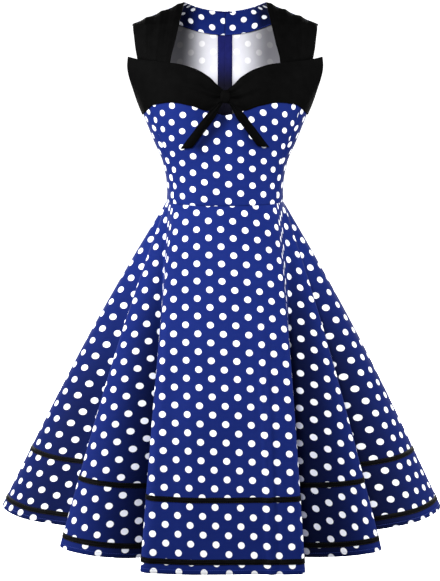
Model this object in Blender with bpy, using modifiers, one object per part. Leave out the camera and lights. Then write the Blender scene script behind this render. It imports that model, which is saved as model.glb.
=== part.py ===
"""A sleeveless swing dress, filled out as worn, with its cloth as thin walls.

Metres, +Z up. The front faces -Y and the wearer's left is +X. The origin is the point between the two
shoulders, at the height of the neck ends of the shoulder seams. Angles run from centre front (0) to
centre back (180), positive towards +X. Every panel is a grid of points on one of two forms: the torso,
which is a stack of rings, or the skirt, whose straight lines of cloth run from the waist ring to a
folded hem line.
"""

import math

import bmesh
import bpy
import numpy as np
from mathutils import Vector

# Driving sizes.
CLOTH = 0.0015
TRIM = 0.0010
SEAM_GAP = 0.0003
SHOULDER_GAP = 0.0026
SKIRT_SEAM_GAP = 0.0014
LAYER_GAP = 0.0004
WAIST_Z = -0.370
SKIRT_LENGTH = 0.665
UNDERARM_Z = -0.208
SHOULDER_Z = -0.040
NECK_HALF = 0.076
SHOULDER_HALF = 0.171
SHOULDER_RUN = 4.5  # how far back the shoulder runs for each metre down from its seam
NECK_BACK_DROP = 0.018
PRINCESS_DEG = 60.0
ZIP_HALF_GAP = 0.0006
ZIP_TAPE_WIDTH = 0.014
ZIP_LAST_SKIRT_SHARE = 0.36
SLIDER_SIZE = (0.0060, 0.0032, 0.0100)
SLIDER_CLEAR = 0.0008
SLIDER_DROP = 0.010
PULL_SIZE = (0.0044, 0.0012, 0.0220)
PULL_CLEAR = 0.0008
PULL_PAST_HINGE = 0.0008
FACING_FROM_DEG = 150.0
RIBBON_WIDTH = 0.010
RING_POWER = 2.3

# Rings of the torso: height, half width, depth at the front, depth at the back.
TORSO_RINGS = (
    ("waist", -0.370, 0.1100, 0.0960, 0.0860),
    ("above_waist", -0.345, 0.1095, 0.0965, 0.0865),
    ("ribs", -0.300, 0.1160, 0.1000, 0.0900),
    ("under_bust", -0.255, 0.1340, 0.1040, 0.0950),
    ("underarm", -0.208, 0.1520, 0.1060, 0.0990),
    ("bust", -0.165, 0.1650, 0.1050, 0.1010),
    ("chest", -0.110, 0.1790, 0.0980, 0.0990),
    ("upper_chest", -0.070, 0.1780, 0.0850, 0.0920),
    ("shoulder_end", -0.040, 0.1710, 0.0680, 0.0840),
    ("outer_shoulder", -0.039, 0.1686, 0.0674, 0.0838),
    ("mid_shoulder", -0.020, 0.1235, 0.0500, 0.0760),
    ("low_neck", -0.008, 0.0950, 0.0330, 0.0620),
    ("neck", 0.000, 0.0760, 0.0060, 0.0080),
)

# The bust: how far the cups stand out, and where.
CUP_OUT = 0.020
CUP_X = 0.076
CUP_Z = -0.168
CUP_SPREAD_X = 0.046
CUP_SPREAD_Z = 0.052

# The seam where the bodice meets the bust cuff: angle, height.
BUST_SEAM = (
    (0.0, -0.2030),
    (8.0, -0.1955),
    (18.0, -0.1860),
    (28.0, -0.1810),
    (45.0, -0.1830),
    (63.0, -0.1955),
    (90.0, -0.2080),
)

# The bust cuff: share of its length from the knot, heights of its lower and its upper edge, and how
# far each of them stands off the torso.
CUFF_EDGES = (
    ("knot", 0.00, -0.1800, -0.1560, 0.0040, 0.0040),
    ("pinch", 0.05, -0.1900, -0.1450, 0.0030, 0.0040),
    ("keyhole", 0.10, -0.1940, -0.1330, 0.0026, 0.0042),
    ("cup_inner", 0.22, -0.1850, -0.1180, 0.0026, 0.0046),
    ("cup_top", 0.38, -0.1795, -0.1095, 0.0026, 0.0060),
    ("cup_outer", 0.60, -0.1850, -0.1060, 0.0026, 0.0090),
    ("armhole", 0.82, -0.2000, -0.1030, 0.0026, 0.0130),
    ("corner", 1.00, -0.2075, -0.0990, 0.0026, 0.0170),
)
CUFF_START_DEG = 2.0
CUFF_END_DEG = (84.0, 64.0)

# The strap, from the shoulder seam down behind the cuff: its inner and its outer edge as x, z.
STRAP_STATIONS = (
    ("seam", 0.0760, 0.0000, 0.1672, -0.0384),
    ("over", 0.0765, -0.0030, 0.1690, -0.0428),
    ("front", 0.0780, -0.0120, 0.1702, -0.0500),
    ("upper", 0.0830, -0.0350, 0.1680, -0.0640),
    ("middle", 0.0910, -0.0700, 0.1655, -0.0830),
    ("cuff_top", 0.0995, -0.1050, 0.1610, -0.1060),
    ("behind", 0.1020, -0.1430, 0.1530, -0.1480),
    ("lower_end", 0.1010, -0.1740, 0.1470, -0.1780),
)

# Rows of the back above the underarm, as shares of the way to its top edge. The facing lies inside
# the rows from FACING_ROW up.
BACK_COLUMNS = 12
BACK_LOWER_ROWS = 5
BACK_ROWS = (0.20, 0.40, 0.58, 0.76, 0.87, 0.94, 0.98, 1.0)
FACING_ROW = 3

# The armhole edge of the back: height, x.
ARMHOLE_BACK = (
    (-0.2080, 0.1500),
    (-0.1900, 0.1470),
    (-0.1500, 0.1490),
    (-0.1000, 0.1600),
    (-0.0600, 0.1685),
    (-0.0400, 0.1710),
)

# The tie tails: side, and the points (x, z) at the knot and at the tip.
TIE_TAILS = (
    ("right", -0.0060, -0.1800, -0.0720, -0.2560),
    ("left", 0.0070, -0.1800, 0.0700, -0.2510),
)
TIE_WIDTH = 0.016
KNOT_SIZE = (0.0155, 0.0150, 0.0280)

# Folds of the skirt, once round from centre front. Each one rises to its crest, rolls over its edge
# and tucks in. Columns: name, the angles on the waist ring where the fold starts and ends, then
# rise, crest, roll and tuck as plan positions (x, y) at the hem.
FOLDS = (
    ("front_centre", 0, 72, (0.070, -0.345), (0.110, -0.350), (0.139, -0.346), (0.124, -0.270)),
    ("front_left", 74, 82, (0.165, -0.276), (0.235, -0.270), (0.282, -0.246), (0.262, -0.158)),
    ("side_left", 84, 92, (0.310, -0.140), (0.380, -0.086), (0.418, 0.012), (0.345, 0.108)),
    ("back_left", 98, 126, (0.322, 0.170), (0.270, 0.236), (0.190, 0.280), (0.146, 0.230)),
    ("centre_back_left", 128, 180, (0.128, 0.270), (0.096, 0.318), (0.048, 0.332), (0.000, 0.334)),
    ("centre_back_right", 180, 232, (-0.040, 0.332), (-0.096, 0.324), (-0.142, 0.292), (-0.150, 0.226)),
    ("back_right", 236, 262, (-0.196, 0.258), (-0.262, 0.254), (-0.318, 0.196), (-0.322, 0.130)),
    ("side_right", 266, 274, (-0.376, 0.106), (-0.433, 0.016), (-0.392, -0.082), (-0.276, -0.150)),
    ("front_right", 276, 286, (-0.300, -0.230), (-0.252, -0.268), (-0.180, -0.282), (-0.134, -0.266)),
    ("front_centre_end", 288, 360, (-0.149, -0.338), (-0.118, -0.346), (-0.070, -0.346), (0.000, -0.344)),
)
HEM_Z = (-0.990, -0.965, -0.985)
HIP_FULLNESS = 0.013
RIBBON_SHARES = (("upper", 0.803), ("lower", 0.967))
SKIRT_ROWS = (0.0, 0.08, 0.20, 0.36, 0.54, 0.70)
COLUMNS_PER_SPAN = 2

COLOURS = {
    "dotted_cotton": ((0.030, 0.060, 0.360, 1), 0.80),
    "black_cotton": ((0.012, 0.012, 0.012, 1), 0.75),
    "blue_tape": ((0.012, 0.020, 0.150, 1), 0.70),
    "blue_enamel": ((0.015, 0.030, 0.220, 1), 0.35),
}


# ---------------------------------------------------------------- forms
def smooth_lookup(rows, column, at):
    """Column of the table at that height, by a monotone-safe cubic through its rows."""
    xs = [row[0] for row in rows]
    ys = [row[column] for row in rows]
    if at <= xs[0]:
        return ys[0]
    if at >= xs[-1]:
        return ys[-1]
    i = max(k for k in range(len(xs) - 1) if xs[k] <= at)
    slopes = [(ys[k + 1] - ys[k]) / (xs[k + 1] - xs[k]) for k in range(len(xs) - 1)]

    def tangent(k):
        if k in (0, len(xs) - 1):
            return slopes[0] if k == 0 else slopes[-1]
        a, b = slopes[k - 1], slopes[k]
        return 0.0 if a * b <= 0 else 2 * a * b / (a + b)

    h = xs[i + 1] - xs[i]
    t = (at - xs[i]) / h
    return (
        (2 * t**3 - 3 * t**2 + 1) * ys[i]
        + (t**3 - 2 * t**2 + t) * h * tangent(i)
        + (-2 * t**3 + 3 * t**2) * ys[i + 1]
        + (t**3 - t**2) * h * tangent(i + 1)
    )


RINGS = tuple(row[1:] for row in TORSO_RINGS)
CUFF = tuple(row[1:] for row in CUFF_EDGES)


def mix(a, b, share):
    return a + (b - a) * share


def cup(x, z):
    """How far the bust stands out of its ring at that place on the front."""
    across = (abs(x) - CUP_X) / CUP_SPREAD_X
    down = (z - CUP_Z) / CUP_SPREAD_Z
    return CUP_OUT * math.exp(-0.5 * (across**2 + down**2))


def ring_depth(x, half_width, depth):
    share = min(1.0, abs(x) / half_width)
    return depth * (1 - share**RING_POWER) ** (1 / RING_POWER)


def ring_x(degrees, half_width):
    s = math.sin(math.radians(degrees))
    return math.copysign(abs(s) ** (2 / RING_POWER), s) * half_width


def front_point(x, z, out=0.0):
    """The point of the torso's front at that x and z, moved forward by out."""
    depth = ring_depth(x, smooth_lookup(RINGS, 1, z), smooth_lookup(RINGS, 2, z))
    return Vector((x, -depth - cup(x, z) - out, z))


def back_point(x, z):
    """The point of the torso's back at that x and z. Towards the shoulder it runs forward, no flatter
    than SHOULDER_RUN, to meet the strap along the seam."""
    across = max(abs(x), NECK_HALF)
    edge = front_point(across, shoulder_z(across)).y
    free = max(1e-6, ring_depth(x, smooth_lookup(RINGS, 1, z), smooth_lookup(RINGS, 3, z)) - edge)
    run = SHOULDER_RUN * max(0.0, shoulder_z(x) - z)
    return Vector((x, edge + free * run / (free**4 + run**4) ** 0.25, z))


def torso_point(degrees, z):
    """The point of the torso's ring at that angle from centre front."""
    half = smooth_lookup(RINGS, 1, z)
    c = math.cos(math.radians(degrees))
    depth = smooth_lookup(RINGS, 2 if c > 0 else 3, z)
    x = ring_x(degrees, half)
    y = -math.copysign(abs(c) ** (2 / RING_POWER), c) * depth
    return Vector((x, y - (cup(x, z) if c > 0 else 0.0), z))


def shoulder_z(x):
    """Height of the shoulder seam at that x."""
    return SHOULDER_Z * (abs(x) - NECK_HALF) / (SHOULDER_HALF - NECK_HALF)


def back_top_z(x):
    """Height of the back's top edge: the neckline inside the neck point, the shoulder seam outside it."""
    if abs(x) >= NECK_HALF:
        return shoulder_z(x)
    return -NECK_BACK_DROP * (1 - (abs(x) / NECK_HALF) ** 2.2)


def plan_points():
    """Control points of the folded hem: (waist angle, x, y), closed by repeating the first at 360."""
    points = [(0.0, FOLDS[-1][6][0], FOLDS[-1][6][1])]
    for _, start, end, *places in FOLDS:
        for i, (x, y) in enumerate(places):
            share = (i + 1) / len(places) if (x or y) else 0
            points.append((mix(start, end, share), x, y))
    return points


PLAN = plan_points()


def hem_plan(span, share):
    """(waist angle, x, y) on a smooth closed line through the plan points."""
    count = len(PLAN) - 1
    wrap = [np.array(PLAN[(span + k) % count][1:]) for k in (-1, 0, 1, 2)]
    knots = [0.0]
    for a, b in zip(wrap, wrap[1:]):
        knots.append(knots[-1] + math.sqrt(max(1e-6, float(np.linalg.norm(b - a)))))
    t = mix(knots[1], knots[2], share)

    def between(p, q, a, b):
        return (p * (b - t) + q * (t - a)) / (b - a)

    first = [between(wrap[k], wrap[k + 1], knots[k], knots[k + 1]) for k in range(3)]
    second = [between(first[k], first[k + 1], knots[k], knots[k + 2]) for k in range(2)]
    x, y = between(second[0], second[1], knots[1], knots[2])
    return mix(PLAN[span][0], PLAN[span + 1][0], share), x, y


def skirt_point(column, s):
    """The point of the skirt a share s of the way from the waist to the hem."""
    waist_angle, x, y = column
    top = torso_point(waist_angle, WAIST_Z)
    radius = math.hypot(x, y)
    side = abs(x) / radius
    front = HEM_Z[0] if y < 0 else HEM_Z[2]
    z = mix(front, HEM_Z[1], side**2)
    full = HIP_FULLNESS * math.sin(math.pi * s) * (1 - 0.4 * s)
    out = Vector((x, y, 0)) / radius * full
    return Vector((mix(top.x, x, s), mix(top.y, y, s), mix(WAIST_Z, z, s))) + out


# ---------------------------------------------------------------- making solids
def material(name):
    made = bpy.data.materials.get(name)
    if made:
        return made
    colour, roughness = COLOURS[name]
    made = bpy.data.materials.new(name)
    made.use_nodes = True
    shader = made.node_tree.nodes["Principled BSDF"]
    shader.inputs["Base Color"].default_value = colour
    shader.inputs["Roughness"].default_value = roughness
    shader.inputs["Metallic"].default_value = 0.0
    return made


def back_column_share(degrees):
    """The share of the back's half width at that angle, from 1 at the side to 0 at the centre."""
    return abs(math.sin(math.radians(degrees))) ** (2 / RING_POWER)


def inset(line, first, last):
    """The line with its ends drawn in along itself by these lengths."""
    line = [p.copy() for p in line]
    line[0] += (line[1] - line[0]).normalized() * first
    line[-1] += (line[-2] - line[-1]).normalized() * last
    return line


def seam_gaps(grid, across=(True, True), along=(True, True), gap=SEAM_GAP):
    """The grid of points with half a seam gap taken off each of its edges that is sewn."""
    half = gap / 2
    grid = [inset(row, half * across[0], half * across[1]) for row in grid]
    columns = [inset(list(c), half * along[0], half * along[1]) for c in zip(*grid)]
    return [list(row) for row in zip(*columns)]


def lifted(grid, lift):
    """The grid moved along its own normals, outwards where lift is positive."""
    points = np.array([[tuple(p) for p in row] for row in grid])
    faces = np.cross(points[1:, 1:] - points[:-1, :-1], points[1:, :-1] - points[:-1, 1:])
    faces /= np.linalg.norm(faces, axis=2, keepdims=True)
    around = np.pad(faces, ((1, 1), (1, 1), (0, 0)), mode="edge")
    normals = around[1:, 1:] + around[1:, :-1] + around[:-1, 1:] + around[:-1, :-1]
    points += normals / np.linalg.norm(normals, axis=2, keepdims=True) * lift
    return [[Vector(p) for p in row] for row in points]


def wall(name, grid, finish, thickness=CLOTH):
    """A cloth wall. The grid is its outer face: rows run up the cloth, columns towards +angle."""
    sheet = bmesh.new()
    points = [[sheet.verts.new(p) for p in row] for row in grid]
    for low, high in zip(points, points[1:]):
        for corners in zip(low, low[1:], high[1:], high):
            sheet.faces.new(corners)
    mesh = bpy.data.meshes.new(name)
    sheet.to_mesh(mesh)
    sheet.free()
    mesh.materials.append(material(finish))
    mesh.shade_smooth()
    made = bpy.data.objects.new(name, mesh)
    dress.objects.link(made)
    thick = made.modifiers.new("cloth", "SOLIDIFY")
    thick.thickness = thickness
    thick.offset = -1
    thick.use_even_offset = False
    return made


def mirrored(grid):
    """The grid on the other side of the body, with its columns turned round so that it still faces out."""
    return [[Vector((-p.x, p.y, p.z)) for p in reversed(row)] for row in grid]


def steps(first, last, count):
    return [mix(first, last, i / count) for i in range(count + 1)]


# ---------------------------------------------------------------- bodice
def front_panel(first_deg, last_deg, columns, rows):
    """A panel of the bodice's front, from the waist up to the bust seam."""
    grid = []
    for v in steps(0, 1, rows):
        row = []
        for angle in steps(first_deg, last_deg, columns):
            top = smooth_lookup(BUST_SEAM, 1, abs(angle))
            row.append(torso_point(angle, mix(WAIST_Z, top, v)))
        grid.append(row)
    return grid


def back_panel(columns, lower_rows):
    """The wearer's left back, from the side seam to the zip, and up to the shoulder and the neckline."""
    angles = steps(90, 180, columns)
    grid = [[torso_point(a, z) for a in angles] for z in steps(WAIST_Z, UNDERARM_Z, lower_rows)]
    for v in BACK_ROWS:
        edge = smooth_lookup(ARMHOLE_BACK, 1, mix(UNDERARM_Z, SHOULDER_Z, v))
        row = []
        for share in map(back_column_share, angles):
            top = back_top_z(ARMHOLE_BACK[-1][1] * share)
            row.append(back_point(edge * share, mix(UNDERARM_Z, top, v)))
        grid.append(row)
    # The top edge stops short of the strap's, so that the two thicknesses don't meet.
    columns = [inset(list(column), 0, SHOULDER_GAP) for column in zip(*grid)]
    return [inset(list(row), 0, ZIP_HALF_GAP) for row in zip(*columns)]


def build_bodice():
    front = front_panel(-PRINCESS_DEG, PRINCESS_DEG, 20, 7)
    wall("bodice_front", seam_gaps(front), "dotted_cotton")
    side = seam_gaps(front_panel(PRINCESS_DEG, 90, 5, 7))
    wall("bodice_side_left", side, "dotted_cotton")
    wall("bodice_side_right", mirrored(side), "dotted_cotton")
    back = seam_gaps(back_panel(BACK_COLUMNS, BACK_LOWER_ROWS), across=(True, False))
    wall("bodice_back_left", back, "dotted_cotton")
    wall("bodice_back_right", mirrored(back), "dotted_cotton")
    return back


def build_straps():
    grid = []
    for _, inner_x, inner_z, outer_x, outer_z in reversed(STRAP_STATIONS):
        row = []
        for share in steps(0, 1, 6):
            row.append(front_point(mix(inner_x, outer_x, share), mix(inner_z, outer_z, share)))
        grid.append(row)
    grid = seam_gaps(grid, across=(False, False))
    wall("strap_left", grid, "black_cotton")
    wall("strap_right", mirrored(grid), "black_cotton")


def cuff_point(u, v):
    """The point of the left bust cuff a share u out from the knot and v up from its lower edge."""
    z = mix(smooth_lookup(CUFF, 1, u), smooth_lookup(CUFF, 2, u), v)
    out = mix(smooth_lookup(CUFF, 3, u), smooth_lookup(CUFF, 4, u), v)
    angle = mix(CUFF_START_DEG, mix(*CUFF_END_DEG, v), u)
    away = Vector((math.sin(math.radians(angle)), -math.cos(math.radians(angle)), 0))
    return torso_point(angle, z) + away * out


def build_cuffs():
    grid = [[cuff_point(u, v) for u in steps(0, 1, 14)] for v in steps(0, 1, 4)]
    grid = seam_gaps(grid, across=(True, False), along=(True, False))
    wall("bust_cuff_left", grid, "black_cotton")
    wall("bust_cuff_right", mirrored(grid), "black_cotton")


def build_bow():
    middle = cuff_point(0, 0.5)
    bead = bmesh.new()
    bmesh.ops.create_uvsphere(bead, u_segments=12, v_segments=8, radius=0.5)
    bmesh.ops.scale(bead, vec=KNOT_SIZE, verts=bead.verts)
    mesh = bpy.data.meshes.new("knot")
    bead.to_mesh(mesh)
    bead.free()
    mesh.materials.append(material("black_cotton"))
    mesh.shade_smooth()
    knot = bpy.data.objects.new("knot", mesh)
    knot.location = (0, middle.y - 0.0035, middle.z)
    dress.objects.link(knot)
    for side, top_x, top_z, tip_x, tip_z in TIE_TAILS:
        run = Vector((tip_x - top_x, 0, tip_z - top_z))
        across = Vector((run.z, 0, -run.x)).normalized() * TIE_WIDTH / 2
        grid = []
        for t in reversed(steps(0, 1, 7)):
            centre = Vector((top_x, 0, top_z)) + run * t
            lift = 0.006 + 0.006 * (1 - t) ** 2
            row = []
            for share in (1, 0, -1):
                place = centre + across * share * mix(0.55, 1.0, min(1, 3 * t))
                row.append(front_point(place.x, place.z, lift))
            grid.append(row)
        wall("tie_" + side, grid, "black_cotton")


# ---------------------------------------------------------------- neck facing and zip
def build_facing(back):
    """The facing lies inside the back's own top rows, from the middle of the shoulder to the zip."""
    first = round((FACING_FROM_DEG - 90) / 90 * BACK_COLUMNS)
    inside = lifted(back, -(CLOTH + 2 * LAYER_GAP + TRIM))
    grid = [row[first:] for row in inside[BACK_LOWER_ROWS + 1 + FACING_ROW :]]
    wall("neck_facing_left", grid, "dotted_cotton", TRIM)
    wall("neck_facing_right", mirrored(grid), "dotted_cotton", TRIM)


def at_x(row, x):
    """The point of a row of the left back at that x, between its columns."""
    for a, b in zip(row, row[1:]):
        if b.x <= x:
            return a.lerp(b, (a.x - x) / (a.x - b.x))
    return row[-1].copy()


def build_zip(back, skirt):
    """Both zip tapes, inside the centre back seam of the bodice and of the top of the skirt."""
    depth = -(CLOTH + LAYER_GAP)
    inside = lifted(skirt, depth) + lifted(back, depth)[1:]
    grid = [[at_x(row, x) for x in (ZIP_TAPE_WIDTH, ZIP_TAPE_WIDTH / 2)] + [row[-1]] for row in inside]
    wall("zip_tape_left", grid, "blue_tape", TRIM)
    wall("zip_tape_right", mirrored(grid), "blue_tape", TRIM)


def rounded_block(name, size, place, lean, finish, bevel):
    block = bmesh.new()
    bmesh.ops.create_cube(block, size=1)
    bmesh.ops.scale(block, vec=size, verts=block.verts)
    mesh = bpy.data.meshes.new(name)
    block.to_mesh(mesh)
    block.free()
    mesh.materials.append(material(finish))
    made = bpy.data.objects.new(name, mesh)
    made.location = place
    made.rotation_euler.x = lean
    dress.objects.link(made)
    soft = made.modifiers.new("soft_edges", "BEVEL")
    soft.width = bevel
    soft.segments = 2
    return made


def build_slider():
    """The slider lies flat on the back's slope, and the pull hangs from the hinge against it."""
    place = back_point(0, -NECK_BACK_DROP - SLIDER_DROP)
    above = back_point(0, place.z + 0.006)
    below = back_point(0, place.z - 0.006)
    slope = (below - above).normalized()
    lean = math.atan2(slope.y, -slope.z)
    out = Vector((0, -slope.z, slope.y))
    middle = place + out * (SLIDER_CLEAR + SLIDER_SIZE[1] / 2)
    rounded_block("zip_slider", SLIDER_SIZE, middle, lean, "blue_enamel", 0.0008)
    hinge = bpy.data.objects.new("pull_hinge", None)
    hinge.location = place + out * (SLIDER_CLEAR + SLIDER_SIZE[1] + PULL_CLEAR + PULL_SIZE[1] / 2)
    hinge.rotation_euler.x = lean
    dress.objects.link(hinge)
    hang = (0, 0, PULL_PAST_HINGE - PULL_SIZE[2] / 2)
    pull = rounded_block("zip_pull", PULL_SIZE, hang, 0, "blue_enamel", 0.0005)
    pull.parent = hinge


# ---------------------------------------------------------------- skirt
def span_at(waist_angle):
    """The plan point whose place on the waist ring is nearest to that angle."""
    return min(range(len(PLAN)), key=lambda i: abs(PLAN[i][0] - waist_angle))


def skirt_pieces():
    """Name and plan spans of each skirt piece. The front one runs on past centre front."""
    left, back, right = span_at(90), span_at(180), span_at(270)
    return (
        ("front", [*range(right, len(PLAN) - 1), *range(0, left)]),
        ("back_left", [*range(left, back)]),
        ("back_right", [*range(back, right)]),
    )


def skirt_rows():
    """Shares of the skirt's length for its rows, from the hem up, and the two rows of each ribbon."""
    half = RIBBON_WIDTH / 2 / SKIRT_LENGTH
    ribbons = {label: (share + half, share - half) for label, share in RIBBON_SHARES}
    edges = [edge for pair in ribbons.values() for edge in pair]
    return sorted([*SKIRT_ROWS, *edges, 1.0], reverse=True), ribbons


def build_skirt():
    shares, ribbons = skirt_rows()
    grids = {}
    for name, spans in skirt_pieces():
        columns = [hem_plan(span, i / COLUMNS_PER_SPAN) for span in spans for i in range(COLUMNS_PER_SPAN)]
        columns.append(hem_plan(spans[-1], 1.0))
        grid = [[skirt_point(column, share) for column in columns] for share in shares]
        grid = seam_gaps(grid, along=(False, False), gap=SKIRT_SEAM_GAP)
        grid = seam_gaps(grid, across=(False, False), along=(False, True))
        grids[name] = grid
        wall("skirt_" + name, grid, "dotted_cotton")
        outside = lifted(grid, LAYER_GAP + TRIM)
        for label, (lower, upper) in ribbons.items():
            band = [outside[shares.index(lower)], outside[shares.index(upper)]]
            band = seam_gaps(band, along=(False, False), gap=SKIRT_SEAM_GAP)
            wall(f"ribbon_{label}_{name}", band, "black_cotton", TRIM)
    last = shares.index(ZIP_LAST_SKIRT_SHARE)
    return grids["back_left"][last:]


for old in list(bpy.data.objects):
    bpy.data.objects.remove(old, do_unlink=True)
dress = bpy.data.collections.new("a_line_dress")
bpy.context.scene.collection.children.link(dress)
back = build_bodice()
build_straps()
build_cuffs()
build_bow()
build_facing(back)
build_slider()
build_zip(back, build_skirt())
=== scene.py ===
"""A sleeveless swing dress in dotted cotton, filled out as worn. Metres, +Z up, front towards -Y."""

import math

import bmesh
import bpy
import numpy as np
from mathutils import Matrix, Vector


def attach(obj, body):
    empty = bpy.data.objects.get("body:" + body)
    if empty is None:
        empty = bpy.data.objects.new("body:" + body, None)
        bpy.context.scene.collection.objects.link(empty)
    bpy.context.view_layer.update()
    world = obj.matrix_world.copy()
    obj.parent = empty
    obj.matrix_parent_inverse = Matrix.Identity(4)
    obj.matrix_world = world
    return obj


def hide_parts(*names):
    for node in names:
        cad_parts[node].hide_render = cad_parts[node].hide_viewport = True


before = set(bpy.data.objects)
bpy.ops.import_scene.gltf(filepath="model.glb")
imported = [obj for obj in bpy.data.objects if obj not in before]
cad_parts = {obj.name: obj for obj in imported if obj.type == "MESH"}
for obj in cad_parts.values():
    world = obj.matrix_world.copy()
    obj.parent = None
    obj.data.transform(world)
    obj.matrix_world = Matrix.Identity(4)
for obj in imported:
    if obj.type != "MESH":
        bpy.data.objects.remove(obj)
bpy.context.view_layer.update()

# ---------------------------------------------------------------- sizes
CLOTH = 0.0011
# Gathered, folded and tied cloth: thickness as sewn, and how far its edges are rounded.
STRAP_CLOTH = (0.0016, 0.0006)
CUFF_CLOTH = (0.0022, 0.0009)
FACING_CLOTH = 0.0009
RIBBON_THICKNESS = 0.0006
RIBBON_OUT = RIBBON_THICKNESS + 0.0002
TAPE_THICKNESS = 0.0008
WAIST_Z = -0.370
SKIRT_LENGTH = 0.665
UNDERARM_Z = -0.208
SHOULDER_Z = -0.040
NECK_HALF = 0.076
SHOULDER_HALF = 0.171
# How far back the shoulder runs for each metre down from its seam.
SHOULDER_RUN = 4.5
NECK_BACK_DROP = 0.018
RING_POWER = 2.3
PRINCESS_DEG = 60.0
FACING_HALF = 0.098
FACING_LOW = 0.0620
FACING_RISE = 0.0150
FACING_HALF_GAP = 0.0005
FACING_STANDS_OFF = 0.0026
# The ends of the facing get painted shade, standing in for the shade of the straps: where that begins, and
# over what width.
FACING_SHADE = (0.048, 0.022)
ZIP_HALF_GAP = 0.0004
# Across a zip tape, from its outer edge to the coil: x of each line of cloth.
TAPE_LINES = (0.0140, 0.0090, 0.0050, 0.0015, 0.0004)
ZIP_LAST_SKIRT_SHARE = 0.36
ZIP_STITCHES_X = 0.0065
RIBBON_WIDTH = 0.010
SEAM_DIP = 0.0011
SEAM_DIP_WIDTH = 0.0035
UNDER_CUFF = 0.0075
SHOULDER_LAP = 0.0005
# The skirt's top row, a little above the waist seam, as a share of its length.
WAIST_LAP_SHARE = -0.004

# Rows and columns of each grid of cloth.
BODICE_ROWS = 60
FRONT_COLUMNS = 120
SIDE_COLUMNS = 30
BACK_ROWS = (50, 56)
BACK_COLUMNS = 72
STRAP_ROWS, STRAP_COLUMNS = 90, 70
CUFF_ROWS, CUFF_COLUMNS = 40, 110
KNOT_ROWS, KNOT_SIDES = 48, 64
TIE_ROWS, TIE_COLUMNS = 60, 16
FACING_ROWS, FACING_COLUMNS = 24, 60
SKIRT_ROWS = 84
SKIRT_COLUMNS_PER_SPAN = 9

# Rings of the torso: height, half width, depth at the front, depth at the back.
TORSO_RINGS = (
    ("waist", -0.370, 0.1100, 0.0960, 0.0860),
    ("above_waist", -0.345, 0.1095, 0.0965, 0.0865),
    ("ribs", -0.300, 0.1160, 0.1000, 0.0900),
    ("under_bust", -0.255, 0.1340, 0.1040, 0.0950),
    ("underarm", -0.208, 0.1520, 0.1060, 0.0990),
    ("bust", -0.165, 0.1650, 0.1050, 0.1010),
    ("chest", -0.110, 0.1790, 0.0980, 0.0990),
    ("upper_chest", -0.070, 0.1780, 0.0850, 0.0920),
    ("shoulder_end", -0.040, 0.1710, 0.0680, 0.0840),
    ("outer_shoulder", -0.039, 0.1686, 0.0674, 0.0838),
    ("mid_shoulder", -0.020, 0.1235, 0.0500, 0.0760),
    ("low_neck", -0.008, 0.0950, 0.0330, 0.0620),
    ("neck", 0.000, 0.0760, 0.0060, 0.0080),
)

# The bust: how far the cups stand out, and where.
CUP_OUT = 0.020
CUP_X = 0.076
CUP_Z = -0.168
CUP_SPREAD_X = 0.046
CUP_SPREAD_Z = 0.052

# The seam where the bodice meets the bust cuff: angle from centre front, height.
BUST_SEAM = (
    (0.0, -0.2030),
    (8.0, -0.1955),
    (18.0, -0.1860),
    (28.0, -0.1810),
    (45.0, -0.1830),
    (63.0, -0.1955),
    (90.0, -0.2080),
)

# The bust cuff: share of its length from the knot, heights of its lower and its upper edge, and how
# far each of them stands off the torso.
CUFF_EDGES = (
    ("knot", 0.00, -0.1800, -0.1560, 0.0040, 0.0040),
    ("pinch", 0.05, -0.1900, -0.1450, 0.0030, 0.0040),
    ("keyhole", 0.10, -0.1940, -0.1330, 0.0026, 0.0042),
    ("cup_inner", 0.22, -0.1850, -0.1180, 0.0026, 0.0046),
    ("cup_top", 0.38, -0.1795, -0.1095, 0.0026, 0.0060),
    ("cup_outer", 0.60, -0.1850, -0.1060, 0.0026, 0.0090),
    ("armhole", 0.82, -0.2000, -0.1030, 0.0026, 0.0130),
    ("corner", 1.00, -0.2075, -0.0990, 0.0026, 0.0170),
)
# Angles from centre front of the cuff's inner end, and of its outer corners, lower and upper.
CUFF_START_DEG = 0.6
CUFF_END_DEG = (84.0, 64.0)

# The strap, from the shoulder seam down behind the cuff: its inner and its outer edge as x, z.
STRAP_STATIONS = (
    ("seam", 0.00, 0.0760, 0.0000, 0.1710, -0.0400),
    ("over", 0.05, 0.0765, -0.0030, 0.1708, -0.0430),
    ("front", 0.14, 0.0780, -0.0120, 0.1702, -0.0500),
    ("upper", 0.30, 0.0830, -0.0350, 0.1680, -0.0640),
    ("middle", 0.48, 0.0910, -0.0700, 0.1655, -0.0830),
    ("cuff_top", 0.66, 0.0995, -0.1050, 0.1610, -0.1060),
    ("behind", 0.84, 0.1020, -0.1430, 0.1530, -0.1480),
    ("lower_end", 1.00, 0.1010, -0.1740, 0.1470, -0.1780),
)

# The armhole edge of the back: height, x.
ARMHOLE_BACK = (
    (-0.2080, 0.1500),
    (-0.1900, 0.1470),
    (-0.1500, 0.1490),
    (-0.1000, 0.1600),
    (-0.0600, 0.1685),
    (-0.0400, 0.1710),
)

# The tie tails: side, and the points (x, z) at the knot and at the tip.
TIE_TAILS = (
    ("right", -0.0085, -0.1790, -0.0715, -0.2630),
    ("left", 0.0100, -0.1790, 0.0700, -0.2600),
)
TIE_WIDTH = 0.016
# The knot: width, depth and height, and how far it stands off the cuffs.
KNOT_SIZE = (0.01836, 0.0120, 0.0240)
KNOT_OUT = 0.0035

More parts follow.
